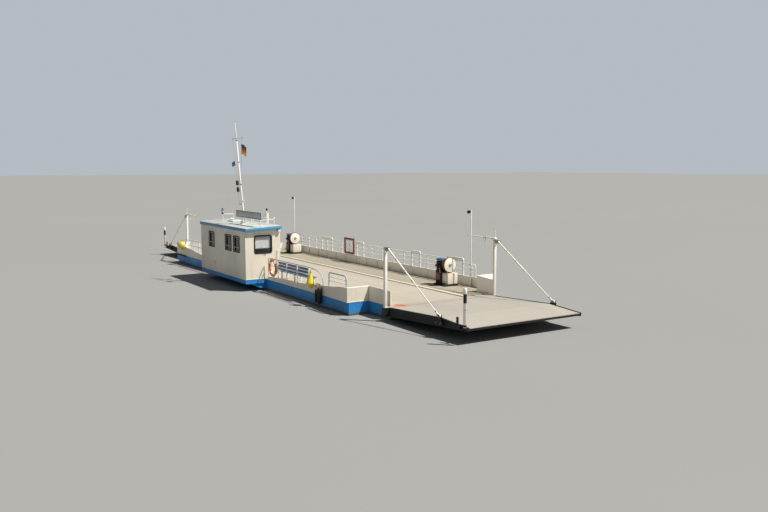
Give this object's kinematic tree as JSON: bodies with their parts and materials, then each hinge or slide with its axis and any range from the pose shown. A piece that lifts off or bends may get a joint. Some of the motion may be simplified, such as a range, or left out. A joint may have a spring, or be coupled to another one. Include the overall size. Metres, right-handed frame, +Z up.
{
  "type": "passenger ferry",
  "caption": "Small double-ended river ferry: flat pontoon hull, side cabin with raked mast, open deck, hinged landing ramps held by cylinders from end posts, rope winches and rails.",
  "frame": {"origin": "middle of the hull's flat bottom", "axes": "+X along the hull to the ramp at the end where the low near bulwark has its step, +Y to the side with the raised footway, away from the cabin, +Z up"},
  "size_m": [29.33, 6.97, 7.7441],
  "materials": {
    "hull_blue": "semi-gloss blue paint, weathered at the waterline",
    "cream_paint": "semi-gloss cream paint",
    "deck_coat": "worn non-slip deck coating, sandy grey",
    "footway_coat": "worn non-slip coating, grey",
    "black_steel": "black tar paint, matt",
    "white_paint": "gloss white paint",
    "rail_paint": "white and pale blue paint on pipe",
    "pale_blue_paint": "pale blue paint on pipe",
    "window_glass": "tinted glass",
    "yellow_plastic": "yellow plastic float",
    "orange_plastic": "orange ring with white bands",
    "bench_paint": "blue paint, worn on the seat",
    "brown_paint": "red-brown paint",
    "fender_rubber": "black rubber",
    "flag_cloth": "woven flag cloth"
  },
  "bodies": {
    "hull": {"hull": "hull_blue", "deck": "deck_coat", "footway": "footway_coat", "bulwark_near_right": "cream_paint", "bulwark_near_left": "cream_paint", "bulwark_far": "cream_paint", "end_beam_right": "black_steel", "end_beam_left": "black_steel", "post_right_near": "white_paint", "post_right_far": "white_paint", "post_left_near": "white_paint", "post_left_far": "white_paint", "cabin_sponson": "hull_blue", "cabin_wall_near": "cream_paint", "cabin_wall_right": "cream_paint", "cabin_wall_left": "cream_paint", "cabin_wall_deck": "cream_paint", "cabin_roof": "hull_blue", "cabin_console": "black_steel", "pane_near": "window_glass", "pane_deck": "window_glass", "pane_right": "window_glass", "pane_left": "window_glass", "mast_step": "white_paint", "roof_rail": "rail_paint", "rail_far": "rail_paint", "rail_near": "pale_blue_paint", "rail_near_hoop": "pale_blue_paint", "rail_near_left": "rail_paint", "life_ring": "orange_plastic", "buoy_right": "yellow_plastic", "buoy_left": "yellow_plastic", "fender": "fender_rubber", "bench": "bench_paint", "rescue_rack": "brown_paint", "winch_right_frame": "cream_paint", "winch_left_frame": "cream_paint"},
    "ramp_right": {"ramp_right_frame": "black_steel", "ramp_right_deck": "deck_coat", "marker_right": "white_paint"},
    "ramp_left": {"ramp_left_frame": "black_steel", "ramp_left_deck": "deck_coat", "marker_left": "white_paint"},
    "barrel_right_near": {"cylinder_right_near": "white_paint"},
    "barrel_right_far": {"cylinder_right_far": "white_paint"},
    "barrel_left_near": {"cylinder_left_near": "white_paint"},
    "barrel_left_far": {"cylinder_left_far": "white_paint"},
    "piston_right_near": {"rod_right_near": "white_paint"},
    "piston_right_far": {"rod_right_far": "white_paint"},
    "piston_left_near": {"rod_left_near": "white_paint"},
    "piston_left_far": {"rod_left_far": "white_paint"},
    "door": {"cabin_door": "cream_paint", "pane_door": "window_glass"},
    "mast": {"mast": "white_paint", "day_signals": "black_steel", "flag": "flag_cloth"},
    "davit_right": {"davit_right": "white_paint"},
    "davit_left": {"davit_left": "white_paint"},
    "drum_right": {"winch_right_drum": "white_paint"},
    "drum_left": {"winch_left_drum": "white_paint"}
  },
  "joints": [
    {"name": "ramp_right_hinge", "type": "hinge", "parent": "hull", "child": "ramp_right", "pos_m": [10.34, 0, 0.89], "axis": [0, -1, 0], "range_deg": [-6, 14]},
    {"name": "ramp_left_hinge", "type": "hinge", "parent": "hull", "child": "ramp_left", "pos_m": [-10.34, 0, 0.89], "axis": [0, 1, 0], "range_deg": [-6, 14]},
    {"name": "barrel_right_near_swing", "type": "hinge", "parent": "hull", "child": "barrel_right_near", "pos_m": [10.4, -2.42, 2.97], "axis": [0, -1, 0], "range_deg": [-5, 11]},
    {"name": "barrel_right_far_swing", "type": "hinge", "parent": "hull", "child": "barrel_right_far", "pos_m": [10.4, 2.42, 2.97], "axis": [0, -1, 0], "range_deg": [-5, 11]},
    {"name": "barrel_left_near_swing", "type": "hinge", "parent": "hull", "child": "barrel_left_near", "pos_m": [-10.4, -2.42, 2.97], "axis": [0, 1, 0], "range_deg": [-5, 11]},
    {"name": "barrel_left_far_swing", "type": "hinge", "parent": "hull", "child": "barrel_left_far", "pos_m": [-10.4, 2.42, 2.97], "axis": [0, 1, 0], "range_deg": [-5, 11]},
    {"name": "piston_right_near_slide", "type": "slide", "parent": "barrel_right_near", "child": "piston_right_near", "axis": [0.847, 0, -0.5316], "range_m": [-0.46, 0.2]},
    {"name": "piston_right_far_slide", "type": "slide", "parent": "barrel_right_far", "child": "piston_right_far", "axis": [0.847, 0, -0.5316], "range_m": [-0.46, 0.2]},
    {"name": "piston_left_near_slide", "type": "slide", "parent": "barrel_left_near", "child": "piston_left_near", "axis": [-0.847, 0, -0.5316], "range_m": [-0.46, 0.2]},
    {"name": "piston_left_far_slide", "type": "slide", "parent": "barrel_left_far", "child": "piston_left_far", "axis": [-0.847, 0, -0.5316], "range_m": [-0.46, 0.2]},
    {"name": "cabin_door_hinge", "type": "hinge", "parent": "hull", "child": "door", "pos_m": [-3.296, -2.308, 1.9], "axis": [0, 0, 1], "range_deg": [0, 105]},
    {"name": "mast_lowering", "type": "hinge", "parent": "hull", "child": "mast", "pos_m": [-0.44, -3.12, 3.5], "axis": [0, -1, 0], "range_deg": [0, 70]},
    {"name": "davit_right_swing", "type": "hinge", "parent": "hull", "child": "davit_right", "pos_m": [10.2, 2.42, 3.08], "axis": [0, 0, 1], "range_deg": [-100, 100]},
    {"name": "davit_left_swing", "type": "hinge", "parent": "hull", "child": "davit_left", "pos_m": [-10.2, -2.42, 3.08], "axis": [0, 0, 1], "range_deg": [-100, 100]},
    {"name": "winch_right_turn", "type": "hinge", "parent": "hull", "child": "drum_right", "pos_m": [7.58, 2.24, 1.84], "axis": [1, 0, 0], "continuous": true},
    {"name": "winch_left_turn", "type": "hinge", "parent": "hull", "child": "drum_left", "pos_m": [-6.33, 2.24, 1.84], "axis": [1, 0, 0], "continuous": true}
  ],
  "couplings": [
    {"joint": "barrel_right_near_swing", "follows": "ramp_right_hinge", "ratio": 0.705},
    {"joint": "barrel_right_far_swing", "follows": "ramp_right_hinge", "ratio": 0.705},
    {"joint": "barrel_left_near_swing", "follows": "ramp_left_hinge", "ratio": 0.705},
    {"joint": "barrel_left_far_swing", "follows": "ramp_left_hinge", "ratio": 0.705},
    {"joint": "piston_right_near_slide", "follows": "ramp_right_hinge", "m_per_rad": -1.85},
    {"joint": "piston_right_far_slide", "follows": "ramp_right_hinge", "m_per_rad": -1.85},
    {"joint": "piston_left_near_slide", "follows": "ramp_left_hinge", "m_per_rad": -1.85},
    {"joint": "piston_left_far_slide", "follows": "ramp_left_hinge", "m_per_rad": -1.85}
  ]
}
